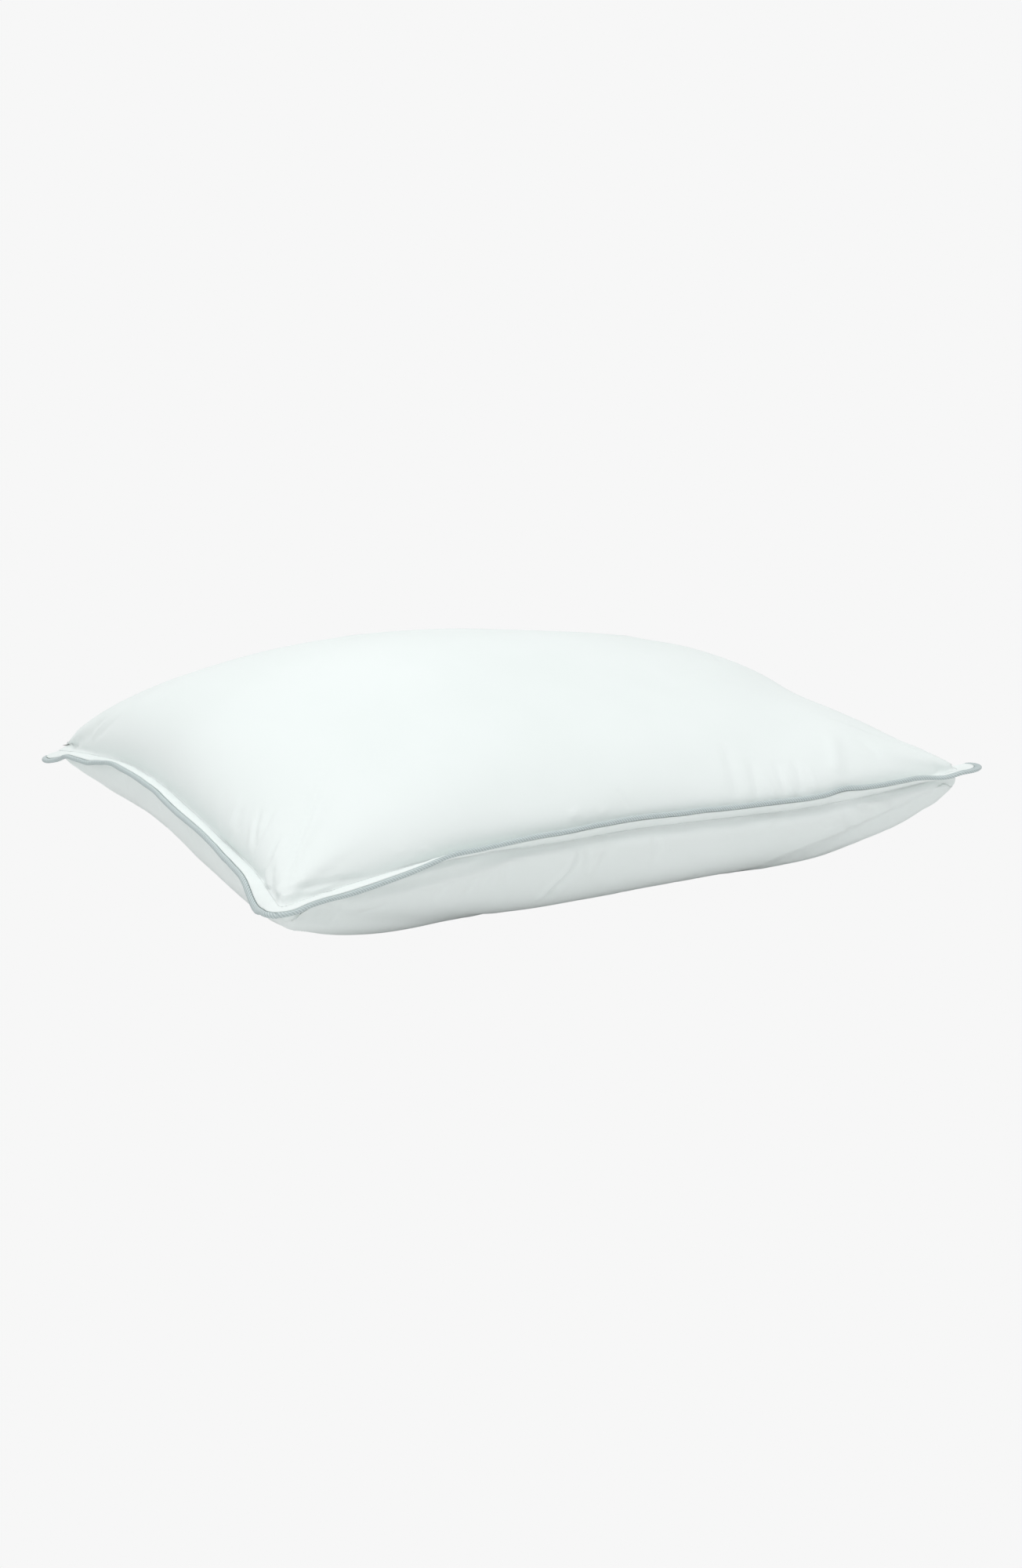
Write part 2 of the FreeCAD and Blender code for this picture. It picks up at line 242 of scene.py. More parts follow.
def seam_point(t, out, up):
    """A place in the flange: out from the stitched crease, and up from the flange's middle."""
    t = np.asarray(t, float) % 4
    rows = np.concatenate([SEAM, SEAM[:1]])
    steps = np.arange(len(rows)) / SEAM_STEPS
    base = np.stack([np.interp(t, steps, rows[:, k]) for k in range(3)], -1)
    normal = np.stack([np.interp(t, steps, rows[:, k]) for k in (3, 4, 5)], -1)
    lean = np.interp(t, steps, rows[:, 6])[..., None]
    sky = np.array([0.0, 0.0, 1.0])
    away, rise = np.cos(lean) * normal + np.sin(lean) * sky, np.cos(lean) * sky - np.sin(lean) * normal
    out, up = np.asarray(out)[..., None], np.asarray(up)[..., None]
    sway = seam_sway(t)[..., None] * out / FLANGE
    pull = bumps(t, CORNER_PULLS)[..., None] * out / FLANGE
    return base + (FLANGE + pull) * normal + (out - FLANGE) * away + (up + sway) * rise


def seam_sway(t):
    """The piping's small ups and downs, in metres."""
    small = 0.5 * wave(t, 0.028, 3) + 0.9 * wave(t, 0.06, 4)
    return 0.0006 * small + bumps(t, SWAYS)


def bumps(t, marks):
    """The sum of the marked bumps at t: each has its place on the seam, its reach and its height."""
    total = 0.0
    for place, reach, height in marks:
        away = (t - place + 2) % 4 - 2
        total = total + height * np.exp(-((away / reach) ** 2))
    return total


def edge_shift(t, side):
    """How far the flange's lean moves the panel's edge."""
    start = np.array([0.0, 0.0, side * FLANGE_HALF])
    return seam_point(t, 0.0, side * FLANGE_HALF) - seam_point_flat(t) - start


def seam_point_flat(t):
    """The base line at t."""
    rows = np.concatenate([SEAM, SEAM[:1]])
    steps = np.arange(len(rows)) / SEAM_STEPS
    return np.stack([np.interp(np.asarray(t) % 4, steps, rows[:, k]) for k in range(3)], -1)


def leaned(u, v, side):
    """The edge's shift, fading out from all four sides into the panel."""
    near = [
        np.exp(-(1 + v) * HALF_DEPTH / LEAN_REACH),
        np.exp(-(1 - u) * HALF_LENGTH / LEAN_REACH),
        np.exp(-(1 - v) * HALF_DEPTH / LEAN_REACH),
        np.exp(-(1 + u) * HALF_LENGTH / LEAN_REACH),
    ]
    places = ((u + 1) / 2, 1 + (v + 1) / 2, 2 + (1 - u) / 2, 3 + (1 - v) / 2)
    shift = 0.0
    for k in range(4):
        shift = shift + near[k][..., None] * edge_shift(places[k], side)
        shift = shift - (near[k - 1] * near[k])[..., None] * edge_shift(float(k), side)
    return shift


def top_form(u, v):
    """The plump top at (u, v), as an array of points."""
    x, y = plan_point(u, v)
    z = seam_height(u, v) + FLANGE_HALF + CROWN * fullness(u, v, CROWN_SHAPE, CROWN_LEAN)
    return np.stack([x, y, z], -1) + leaned(u, v, 1)


def foot_form(u, v):
    """The underside at (u, v), eased onto the floor, as an array of points."""
    x, y = plan_point(u, v)
    free = seam_height(u, v) - FLANGE_HALF - FOOT * fullness(u, v, FOOT_SHAPE, FOOT_LEAN)
    form = np.stack([x, y, free], -1) + leaned(u, v, -1)
    z = form[..., 2]
    eased = np.maximum(z + FOOT_SOFT, 0) ** 2 / (4 * FOOT_SOFT)
    form[..., 2] = np.where(z > FOOT_SOFT, z, eased)
    return form


# ---------------------------------------------------------------- cloth grid


def respaced(lines, points):
    """Each line's values moved so that its points are evenly spaced; lines is (n, m, 2) in (u, v)."""
    made = np.empty_like(lines)
    for k in range(len(lines)):
        steps = np.linalg.norm(np.diff(points[k], axis=0), axis=1)
        along = np.concatenate([[0], np.cumsum(steps)])
        even = np.linspace(0, along[-1], len(along))
        made[k, :, 0] = np.interp(even, along, lines[k, :, 0])
        made[k, :, 1] = np.interp(even, along, lines[k, :, 1])
    return made


def even_grid(form, rounds=14):
    """A (u, v) grid whose cells are close to even on the form's surface."""
    u, v = np.meshgrid(
        np.sin(np.linspace(-1, 1, CELLS_U + 1) * math.pi / 2),
        np.sin(np.linspace(-1, 1, CELLS_V + 1) * math.pi / 2),
        indexing="ij",
    )
    uv = np.stack([u, v], -1)
    for _ in range(rounds):
        for turn in (0, 1):
            lines = uv.transpose(1, 0, 2) if turn else uv
            moved = respaced(lines, form(lines[..., 0], lines[..., 1]))
            lines = 0.5 * lines + 0.5 * moved
            uv = lines.transpose(1, 0, 2) if turn else lines
    return uv


def grid_quads(n, m):
    """The four points of each cell of an n by m grid."""
    index = np.arange(n * m).reshape(n, m)
    quads = np.stack([index[:-1, :-1], index[1:, :-1], index[1:, 1:], index[:-1, 1:]], -1)
    return quads.reshape(-1, 4)


def grid_mesh(name, points, flip):
    """A quad mesh over an (n, m, 3) grid of points."""
    quads = grid_quads(*points.shape[:2])
    if flip:
        quads = quads[:, ::-1]
    mesh = bpy.data.meshes.new(name)
    mesh.from_pydata(points.reshape(-1, 3).tolist(), [], quads.tolist())
    mesh.update()
    return mesh


def linked(name, mesh):
    """A new object in the scene."""
    obj = bpy.data.objects.new(name, mesh)
    bpy.context.scene.collection.objects.link(obj)
    return obj


def coordinates(mesh):
    """The mesh's points, as an array."""
    co = np.empty(len(mesh.vertices) * 3, np.float32)
    mesh.vertices.foreach_get("co", co)
    return co.reshape(-1, 3).astype(float)


# ---------------------------------------------------------------- cloth simulation

SIM_FRAMES = 30
PRESSURE = 5.0
LOW_PASS_CELLS = 9  # the simulated cloth keeps its own shape at sizes up to about this


def flat_cut(n, m):
    """An n by m grid of points laid out on the flat cut cloth, inside its flange."""
    x = np.linspace(-1, 1, n) * (CUT_LENGTH / 2 - FLANGE)
    y = np.linspace(-1, 1, m) * (CUT_DEPTH / 2 - FLANGE)
    x, y = np.meshgrid(x, y, indexing="ij")
    return np.stack([x, y, np.zeros_like(x)], -1)


def ring_index(n, m):
    """Grid indices round the edge, anticlockwise from the front left corner."""
    index = np.arange(n * m).reshape(n, m)
    return np.concatenate([index[:-1, 0], index[-1, :-1], index[:0:-1, -1], index[0, :0:-1]])


def set_cloth(obj, rest_shape, pinned):
    """Fine cotton, held at its pinned points and pushed outward by the filling."""
    cloth = obj.modifiers.new("cloth", "CLOTH")
    settings = cloth.settings
    settings.quality = 6
    settings.mass = 0.25
    settings.air_damping = 2.0
    settings.tension_stiffness = 40
    settings.compression_stiffness = 15
    settings.shear_stiffness = 8
    settings.bending_stiffness = 0.35
    settings.tension_damping = 10
    settings.compression_damping = 10
    settings.shear_damping = 5
    settings.bending_damping = 0.5
    settings.vertex_group_mass = pinned.name
    settings.rest_shape_key = rest_shape
    settings.use_pressure = True
    settings.uniform_pressure_force = PRESSURE
    settings.effector_weights.gravity = 0.0
    cloth.collision_settings.use_collision = False
    cloth.point_cache.frame_end = SIM_FRAMES


def simulate(name, points, flat, side):
    """The grid simulated as cloth that was cut flat."""
    n, m = points.shape[:2]
    obj = linked(name, grid_mesh(name, points, flip=side < 0))
    obj.shape_key_add(name="plump")
    cut = obj.shape_key_add(name="cut")
    cut.data.foreach_set("co", flat.reshape(-1))
    cut.value = 0.0
    held = obj.vertex_groups.new(name="held")
    held.add(ring_index(n, m).tolist(), 1.0, "REPLACE")
    set_cloth(obj, cut, held)
    for step in range(1, SIM_FRAMES + 1):
        bpy.context.scene.frame_set(step)
    graph = bpy.context.evaluated_depsgraph_get()
    result = coordinates(obj.evaluated_get(graph).data)
    bpy.data.objects.remove(obj)
    bpy.context.scene.frame_set(1)
    return result.reshape(n, m, 3)


def low_pass(field, cells):
    """A grid field that is zero round its edge, smoothed over about that many cells."""
    reach = int(3 * cells)
    weights = np.exp(-0.5 * (np.arange(-reach, reach + 1) / cells) ** 2)
    weights /= weights.sum()
    for axis in (0, 1):
        lines = np.moveaxis(field, axis, 0)
        padded = np.concatenate([-lines[reach:0:-1], lines, -lines[-2 : -reach - 2 : -1]])
        smooth = sum(w * padded[k : k + len(lines)] for k, w in enumerate(weights))
        field = np.moveaxis(smooth, 0, axis)
    return field


def finer(grid):
    """The grid with a smooth point halfway between each two, along both axes."""
    for axis in (0, 1):
        g = np.moveaxis(grid, axis, 0)
        before = np.concatenate([2 * g[:1] - g[1:2], g[:-1]])[:-1]
        after = np.concatenate([g[2:], 2 * g[-1:] - g[-2:-1]])
        made = np.empty((2 * len(g) - 1, *g.shape[1:]))
        made[::2] = g
        made[1::2] = (9 * (g[:-1] + g[1:]) - before - after) / 16
        grid = np.moveaxis(made, 0, axis)
    return grid


def finer_uv(uv):
    """A (u, v) grid with a point halfway between each two."""
    for axis in (0, 1):
        g = np.moveaxis(uv, axis, 0)
        made = np.empty((2 * len(g) - 1, *g.shape[1:]))
        made[::2] = g
        made[1::2] = (g[:-1] + g[1:]) / 2
        uv = np.moveaxis(made, 0, axis)
    return uv


def grid_normals(grid):
    """Unit normals of a grid, upward for a grid seen from above."""
    across = np.gradient(grid, axis=0)
    along = np.gradient(grid, axis=1)
    normal = np.cross(across, along)
    return normal / np.maximum(np.linalg.norm(normal, axis=-1, keepdims=True), 1e-12)


# ---------------------------------------------------------------- cloth panels

# The flange's surface from the crease outward: (out from the crease, up from the flange's middle)
FOLD_OUT = FLANGE - COVER_R
FLANGE_PROFILE = (
    (0.0005, 0.00125),
    (STITCH_OUT, 0.00095),
    (0.0020, 0.00115),
    (0.0034, 0.00140),
    (0.0052, 0.00170),
    (0.0068, 0.00195),
    (0.0084, 0.00205),
    (0.0097, 0.00200),
    (FOLD_OUT, 0.00175),
    (FOLD_OUT + 0.00012, 0.00145),
    (FOLD_OUT - 0.00010, 0.00085),
    (FOLD_OUT - 0.00050, 0.00045),
    (FOLD_OUT - 0.00350, 0.00045),
)


# Relief of the body, keyed by side, 1 for the top and -1 for the underside
GATHERS = {1: (0.00018, 0.0006), -1: (0.00035, 0.0010)}  # heights of the fine and the broad gathers
ROLLS = {1: (0.0036, 0.012), -1: (0.0062, 0.0095)}  # height, and how far in it peaks
ROLL_MIDDLE = 0.05
ROLL_REACH = 0.25
BACK_LEFT_DIP = 0.0055
DIP_REACH = 0.055


def edge_waves(cut, side):
    """Small gathers that run into the body from the stitched crease, as a height along the normal."""
    x, y = cut[..., 0], cut[..., 1]
    height = np.zeros(x.shape)
    fine_height, broad_height = GATHERS[side]
    seed = 100 if side > 0 else 200
    sides = ((x, y - y.min()), (x, y.max() - y), (y, x - x.min()), (y, x.max() - x))
    for k, (along, inward) in enumerate(sides):
        rise = 1 - np.exp(-inward / 0.0015)
        bend = along + 0.35 * inward * wave(along, 0.09, seed + 40 + k)
        fine = fine_height * np.exp(-inward / 0.008) * wave(bend, 0.0055, seed + k)
        broad = broad_height * np.exp(-inward / 0.026) * wave(bend, 0.015, seed + 10 + k)
        patchy = np.clip(0.1 + 1.1 * wave(along, 0.05, seed + 20 + k), 0.1, 1)
        height += rise * patchy * (fine + broad)
    return height


def front_roll(cut, side):
    """The filling's push outward behind and under the leaning front flange, as a height along the normal."""
    x, y = cut[..., 0], cut[..., 1]
    height, reach = ROLLS[side]
    inward = (y - y.min()) / reach
    along = np.exp(-(((x - ROLL_MIDDLE) / ROLL_REACH) ** 4))
    return height * along * inward * np.exp(1 - inward)


def soft_lumps(cut, side):
    """Broad, shallow unevenness of the filling under the cloth."""
    x, y = cut[..., 0], cut[..., 1]
    seed = 60 if side > 0 else 70
    tall = wave(x + 0.3 * y, 0.075, seed) * wave(y - 0.4 * x, 0.06, seed + 1)
    small = wave(x - 0.5 * y, 0.034, seed + 2) * wave(y + 0.3 * x, 0.03, seed + 3)
    lumps = 0.0016 * tall + 0.0005 * small
    if side > 0:
        from_corner = np.hypot(x - x.min(), y - y.max())
        lumps = lumps - BACK_LEFT_DIP * np.exp(-((from_corner / DIP_REACH) ** 2))
    return lumps


# Creases and folds: height and half width in mm, then the path over the flat cut cloth, in mm
TOP_FOLDS = (
    # front left corner
    (-1.1, 2.6, ((-295, -129), (-316, -149), (-327, -161), (-338, -164))),
    (0.9, 3.4, ((-308, -134), (-322, -148), (-335, -157))),
    (-0.9, 2.4, ((-291, -145), (-308, -156), (-319, -160), (-329, -165))),
    (0.8, 3.0, ((-300, -143), (-316, -153))),
    (-1.2, 2.6, ((-304, -175), (-320, -185), (-331, -189), (-342, -192))),
    (1.0, 3.2, ((-306, -181), (-321, -192), (-331, -198))),
    (-1.1, 3.0, ((-323, -196), (-334, -205), (-342, -216))),
    (1.6, 4.0, ((-328, -190), (-339, -202), (-343, -213))),
    (1.9, 5.0, ((-330, -220), (-338, -228))),
    (-1.4, 3.0, ((-334, -229), (-308, -233), (-290, -235), (-262, -240))),
    (1.0, 3.4, ((-322, -239), (-296, -241))),
    (-0.8, 7.0, ((-308, -112), (-328, -127))),
    (0.6, 6.0, ((-300, -104), (-334, -112))),
    (-0.6, 6.0, ((-306, -86), (-336, -92))),
    # back left corner
    (-2.6, 5.0, ((-300, 140), (-322, 175), (-331, 198), (-341, 228))),
    (1.8, 4.5, ((-300, 132), (-317, 163), (-326, 186), (-338, 212))),
    (-0.9, 4.0, ((-300, 122), (-320, 150), (-334, 180))),
    # front, left to right
    (0.5, 2.5, ((-231, -229), (-222, -230))),
    (0.6, 2.4, ((-229, -236), (-218, -236))),
    (0.6, 2.4, ((-212, -232), (-201, -232))),
    (0.5, 2.4, ((-207, -236), (-197, -235))),
    (0.9, 4.0, ((-70, -225), (-58, -222))),
    (0.7, 2.5, ((-42, -228), (-31, -223))),
    (-0.6, 2.4, ((-9, -227), (-17, -210))),
    (-0.9, 8.0, ((118, -172), (99, -230))),
    (-0.8, 6.0, ((134, -190), (121, -230))),
    (0.8, 3.6, ((137, -208), (140, -234))),
    (-0.8, 5.0, ((157, -196), (149, -230))),
    (0.8, 3.6, ((156, -208), (160, -233))),
    (-0.8, 5.0, ((176, -196), (168, -230))),
    (0.6, 4.0, ((186, -205), (183, -232))),
    (1.3, 9.0, ((236, -172), (209, -220))),
    (-0.7, 7.0, ((256, -186), (264, -212))),
    # front right corner
    (-0.8, 3.0, ((294, -206), (324, -240))),
    (0.7, 3.4, ((304, -200), (332, -232))),
    (-0.7, 4.0, ((312, -180), (338, -214))),
)
FOOT_FOLDS = (
    # long crease under the front flange, left half
    (1.5, 3.0, ((-262, -222), (-215, -223), (-180, -225), (-150, -228), (-127, -235), (-62, -240))),
    (-1.4, 4.0, ((-250, -229), (-200, -231), (-165, -233), (-140, -238))),
    (-0.9, 3.0, ((-225, -217), (-250, -209))),
    (-1.8, 12.0, ((-294, -224), (-272, -214))),
    (0.9, 8.0, ((-272, -232), (-255, -212))),
    # folds below it
    (-0.9, 4.0, ((-181, -225), (-188, -208))),
    (-0.9, 4.0, ((-155, -227), (-161, -208))),
    (-0.8, 4.0, ((-146, -231), (-152, -214))),
    (-0.9, 5.0, ((-133, -236), (-129, -212))),
    # the diagonal fold near the middle and the small lumps beside it
    (-2.0, 5.0, ((-63, -241), (-65, -228), (-71, -218), (-79, -206), (-82, -188))),
    (1.4, 4.5, ((-70, -240), (-74, -222), (-86, -206), (-92, -190))),
    (-1.1, 3.5, ((-58, -240), (-56, -222))),
    (1.1, 3.0, ((-53, -236), (-46, -227), (-52, -217), (-47, -210))),
    (1.2, 2.6, ((-64, -238), (-50, -239), (-36, -239))),
    (-1.0, 5.0, ((-33, -239), (-43, -222))),
    (-1.0, 4.0, ((7, -240), (10, -216))),
    (0.8, 3.4, ((15, -239), (18, -222))),
    # right end
    (1.1, 2.5, ((124, -239), (147, -240))),
    (-1.0, 3.0, ((139, -239), (128, -230))),
    (1.5, 3.0, ((222, -240), (238, -237), (251, -235))),
    (-1.4, 4.0, ((218, -236), (240, -230))),
    (-1.5, 5.0, ((205, -240), (207, -226), (213, -212))),
    (1.2, 4.0, ((236, -227), (254, -230))),
    (1.0, 5.0, ((268, -240), (306, -231))),
    (-0.9, 5.0, ((272, -232), (300, -222))),
    (0.9, 4.0, ((198, -229), (181, -221))),
    # left side
    (-1.0, 5.0, ((-341, -150), (-322, -158))),
    (0.9, 5.0, ((-341, -110), (-318, -118))),
    (-1.0, 6.0, ((-341, -60), (-316, -66))),
    (0.8, 5.0, ((-341, -20), (-318, -24))),
    (-0.9, 5.0, ((-341, 40), (-320, 38))),
    (-0.9, 5.0, ((-341, 110), (-318, 116))),
)


def folds(cut, strokes):
    """Creases and folds drawn over the cut cloth, as a height along the normal."""
    height = np.zeros(cut.shape[:2])
    place = cut[..., :2] * 1000
    for rise, half_width, path in strokes:
        path = np.array(path, float)
        spans = np.linalg.norm(np.diff(path, axis=0), axis=1)
        length = spans.sum()
        nearest = np.full(height.shape, 1e9)
        along = np.zeros(height.shape)
        for start, end, before, span in zip(path, path[1:], np.cumsum(spans) - spans, spans):
            share = np.clip(((place - start) @ (end - start)) / span**2, 0, 1)
            away = np.linalg.norm(place - start - share[..., None] * (end - start), axis=-1)
            closer = away < nearest
            nearest = np.where(closer, away, nearest)
            along = np.where(closer, (before + share * span) / length, along)
        fade = np.clip(along / 0.3, 0, 1) * np.clip((1 - along) / 0.12, 0.25, 1)
        across = (nearest / half_width) ** 2
        height += 0.001 * rise * fade * (1 - 0.8 * across) * np.exp(-across)
    return height


def fullest_edge(cut):
    """One on the crease, falling to nothing a few millimetres in."""
    x, y = np.abs(cut[..., 0]), np.abs(cut[..., 1])
    return np.exp(-np.minimum(x.max() - x, y.max() - y) / 0.0012)


def plump_grid(name, form, side):
    """The panel's body: its plump form, simulated as cloth, refined, and gathered along the crease."""
    uv = even_grid(form)
    target = form(uv[..., 0], uv[..., 1])
    grid = target
    n, m = target.shape[:2]
    grid = simulate(name, target, flat_cut(n, m), side)
    grid = grid + low_pass(target - grid, LOW_PASS_CELLS)
    grid = finer(grid)
    cut = flat_cut(*grid.shape[:2])
    inside = 1 - fullest_edge(cut)
    relief = edge_waves(cut, side) + folds(cut, TOP_FOLDS if side > 0 else FOOT_FOLDS)
    relief += soft_lumps(cut, side) + front_roll(cut, side)
    grid = grid + side * (relief * inside)[..., None] * grid_normals(grid)
    grid[..., 2] = np.maximum(grid[..., 2], 0.0)
    return grid, edge_places(finer_uv(uv))


def edge_places(uv):
    """The seam place t of each edge point of a (u, v) grid, in ring order."""
    u, v = (uv[..., k].reshape(-1)[ring_index(*uv.shape[:2])] for k in (0, 1))
    n, m = uv.shape[0] - 1, uv.shape[1] - 1
    front, right, back, left = np.split(np.arange(len(u)), np.cumsum([n, m, n]))
    return np.concatenate(
        [(u[front] + 1) / 2, 1 + (v[right] + 1) / 2, 2 + (1 - u[back]) / 2, 3 + (1 - v[left]) / 2]
    )


def panel_mesh(name, grid, places, side):
    """One cloth panel: its body, and the flange round it with its edge folded in beside the piping."""
    n, m = grid.shape[:2]
    edge = ring_index(n, m)
    flat = flat_cut(n, m).reshape(-1, 3)
    t = np.stack([places, (places + np.append(places[1:], 4.0)) / 2], -1).reshape(-1)
    cut = np.stack([flat[edge], (flat[edge] + flat[np.roll(edge, -1)]) / 2], 1).reshape(-1, 3)
    cut_normal = outward(cut, 3)
    count = len(t)
    points, sheet = [grid.reshape(-1, 3)], [flat]
    for out, up in FLANGE_PROFILE:
        swell = math.sin(math.pi * min(out / FOLD_OUT, 1.0))
        gather = 0.00035 * wave(t, 0.0105, 7) + 0.00035 * wave(t, 0.034, 8)
        points.append(seam_point(t, np.full(count, out), side * (up + swell * side * gather)))
        sheet.append(cut + out * cut_normal)
    first = n * m + np.arange(count)
    joins = [edge, first[::2], first[1::2], np.roll(first[::2], -1), np.roll(edge, -1)]
    faces = grid_quads(n, m).tolist() + np.stack(joins, -1).tolist()
    for k in range(len(FLANGE_PROFILE) - 1):
        inner, outer = first + k * count, first + (k + 1) * count
        ring = np.stack([inner, outer, np.roll(outer, -1), np.roll(inner, -1)], -1)
        faces += ring.tolist()
    if side < 0:
        faces = [face[::-1] for face in faces]
    return mesh_with_uv(name, np.concatenate(points), faces, np.concatenate(sheet)[:, :2])


def mesh_with_uv(name, points, faces, uv):
    """A smooth-shaded mesh with one UV per point, in metres of cloth."""
    mesh = bpy.data.meshes.new(name)
    mesh.from_pydata(points.tolist(), [], faces)
    layer = mesh.uv_layers.new(name="cloth")
    loops = np.empty(len(mesh.loops), np.int32)
    mesh.loops.foreach_get("vertex_index", loops)
    layer.data.foreach_set("uv", uv[loops].astype(np.float32).ravel())
    mesh.shade_smooth()
    mesh.update()
    return mesh


# ---------------------------------------------------------------- piping, cord and threads


def stations(out, count):
    """Evenly spaced places round the flange at that distance out, as seam places t."""
    t = np.linspace(0, 4, 6000, endpoint=False)
    rows = np.concatenate([seam_point(t, np.full(len(t), out), np.zeros(len(t))), t[:, None]], axis=1)
    rows = np.concatenate([rows, [[*rows[0, :3], 4.0]]])
    along = np.concatenate([[0], np.cumsum(np.linalg.norm(np.diff(rows[:, :3], axis=0), axis=1))])
    even = np.linspace(0, along[-1], count, endpoint=False)
    return np.interp(even, along, rows[:, 3]), along[-1]


def swept_ring(name, t, length, sections, around):
    """A closed hoop: sections is (stations, corners, 2), out from the piping's middle and up."""
    count, corners = sections.shape[:2]
    places = np.broadcast_to(t[:, None], (count, corners))
    points = seam_point(places, FLANGE + sections[..., 0], sections[..., 1])
    index = np.arange(count * corners).reshape(count, corners)
    ahead = np.roll(index, -1, axis=0)
    quads = np.stack([index, np.roll(index, -1, 1), np.roll(ahead, -1, 1), ahead], -1).reshape(-1, 4)
    along = np.arange(count) * length / count
    uv = np.stack(np.broadcast_arrays(along[:, None], around[None, :]), -1)
    return linked(name, mesh_with_uv(name, points.reshape(-1, 3), quads.tolist(), uv.reshape(-1, 2)))


PIPING_STATIONS = 3400
TWILL_PITCH = 0.0023
TWILL_DEPTH = 0.00020
TWILL_SLOPE = 0.293 * TWILL_PITCH / 0.00046 / COVER_R * 0.001  # of the colour bands across the strip
TWILL_TURNS = 1.1  # how far a twill line runs along, in pitches, while it goes once round


def piping_cover():
    """The bias strip wrapped round the cord, with its two edges running in between the panels."""
    t, length = stations(FLANGE, PIPING_STATIONS)
    outer = np.linspace(math.pi - 0.18, 0.18 - math.pi, 17)
    bore = outer[::-2]
    along = np.arange(PIPING_STATIONS) * length / PIPING_STATIONS
    phase = along[:, None] / TWILL_PITCH + TWILL_TURNS * outer[None, :] / math.pi
    twill = np.abs(np.sin(math.pi * phase))
    lumps = 0.00010 * wave(along, 0.008, 31)[:, None]
    radius = COVER_R - TWILL_DEPTH * (1 - twill) + lumps
    tail = STITCH_OUT + 0.0012 - FLANGE
    parts = [
        np.stack([radius * np.cos(outer), radius * np.sin(outer)], -1),
        np.broadcast_to([[tail, -0.00035], [tail, -0.00005]], (PIPING_STATIONS, 2, 2)),
        np.broadcast_to(
            (COVER_R - COVER_WALL) * np.stack([np.cos(bore), np.sin(bore)], -1),
            (PIPING_STATIONS, len(bore), 2),
        ),
        np.broadcast_to([[tail, 0.00005], [tail, 0.00035]], (PIPING_STATIONS, 2, 2)),
    ]
    sections = np.concatenate(parts, axis=1)[:, ::-1]
    around = np.concatenate([outer, [-4.5, -4.5], bore, [4.5, 4.5]])[::-1]
    return swept_ring("piping_cover_bias", t, length, sections, around * COVER_R)


def piping_cord():
    """The three-strand cotton cord inside the piping."""
    count, lay = 1700, 0.009
    t, length = stations(FLANGE, count)
    turn = np.linspace(0, 2 * math.pi, 13)[:-1]
    along = np.arange(count) * length / count
    lobe = np.abs(np.cos(1.5 * (turn[None, :] - 2 * math.pi * along[:, None] / lay)))
    radius = CORD_R * (0.84 + 0.13 * lobe)
    sections = np.stack([radius * np.cos(turn), radius * np.sin(turn)], -1)
    return swept_ring("piping_cord_twist", t, length, sections, turn * CORD_R)


def stitch_row(name, places, runs, ups, length, radius, sink):
    """A row of short arched stitches: places, runs and ups are one point and two directions each."""
    rings, sides = 6, 6
    t = np.linspace(-1, 1, rings)
    thick = radius * np.sqrt(np.maximum(1 - (0.93 * t) ** 6, 0.1))
    rise = sink * (1 - t * t) - sink * 0.75
    turn = np.arange(sides) * 2 * math.pi / sides
    across = np.cross(ups, runs)
    centre = places[:, None] + 0.5 * length * t[:, None] * runs[:, None] + rise[:, None] * ups[:, None]
    points = (
        centre[:, :, None]
        + (thick[:, None] * np.cos(turn))[..., None] * across[:, None, None]
        + (thick[:, None] * np.sin(turn))[..., None] * ups[:, None, None]
    )
    index = np.arange(rings * sides).reshape(rings, sides)
    side = np.stack([index[:-1], np.roll(index[:-1], -1, 1), np.roll(index[1:], -1, 1), index[1:]], -1)
    one = [q.tolist() for q in side.reshape(-1, 4)[:, ::-1]] + [index[0].tolist(), index[-1, ::-1].tolist()]
    count = len(places)
    faces = [[i + k * rings * sides for i in f] for k in range(count) for f in one]
    sheet = np.stack(np.meshgrid(t * length / 2, turn * radius, indexing="ij"), -1)
    uv = np.broadcast_to(sheet, (count, rings, sides, 2))
    return linked(name, mesh_with_uv(name, points.reshape(-1, 3), faces, uv.reshape(-1, 2)))


STITCH_PITCH = 0.0029
STITCH_LENGTH = 0.0024
THREAD_R = 0.00022


def flange_stitches(name, out, lift, first=0.0, last=4.0):
    """Machine stitches along the flange at that distance out, lifted off its middle."""
    _, length = stations(out, 100)
    t, _ = stations(out, int(length / STITCH_PITCH))
    t = t[(t >= first) & (t < last)]
    ones = np.ones(len(t))
    places = seam_point(t, out * ones, lift * ones)
    runs = seam_point(t + 0.001, out * ones, lift * ones) - seam_point(t - 0.001, out * ones, lift * ones)
    ups = (places - seam_point(t, out * ones, 0 * ones)) / abs(lift)
    runs /= np.linalg.norm(runs, axis=1, keepdims=True)
    ups -= runs * (ups * runs).sum(axis=1, keepdims=True)
    ups /= np.linalg.norm(ups, axis=1, keepdims=True)
    return stitch_row(name, places, runs, ups, STITCH_LENGTH, THREAD_R, THREAD_R)


# ---------------------------------------------------------------- label and filling

CLUSTER = 0.016  # size of the filling's lumps


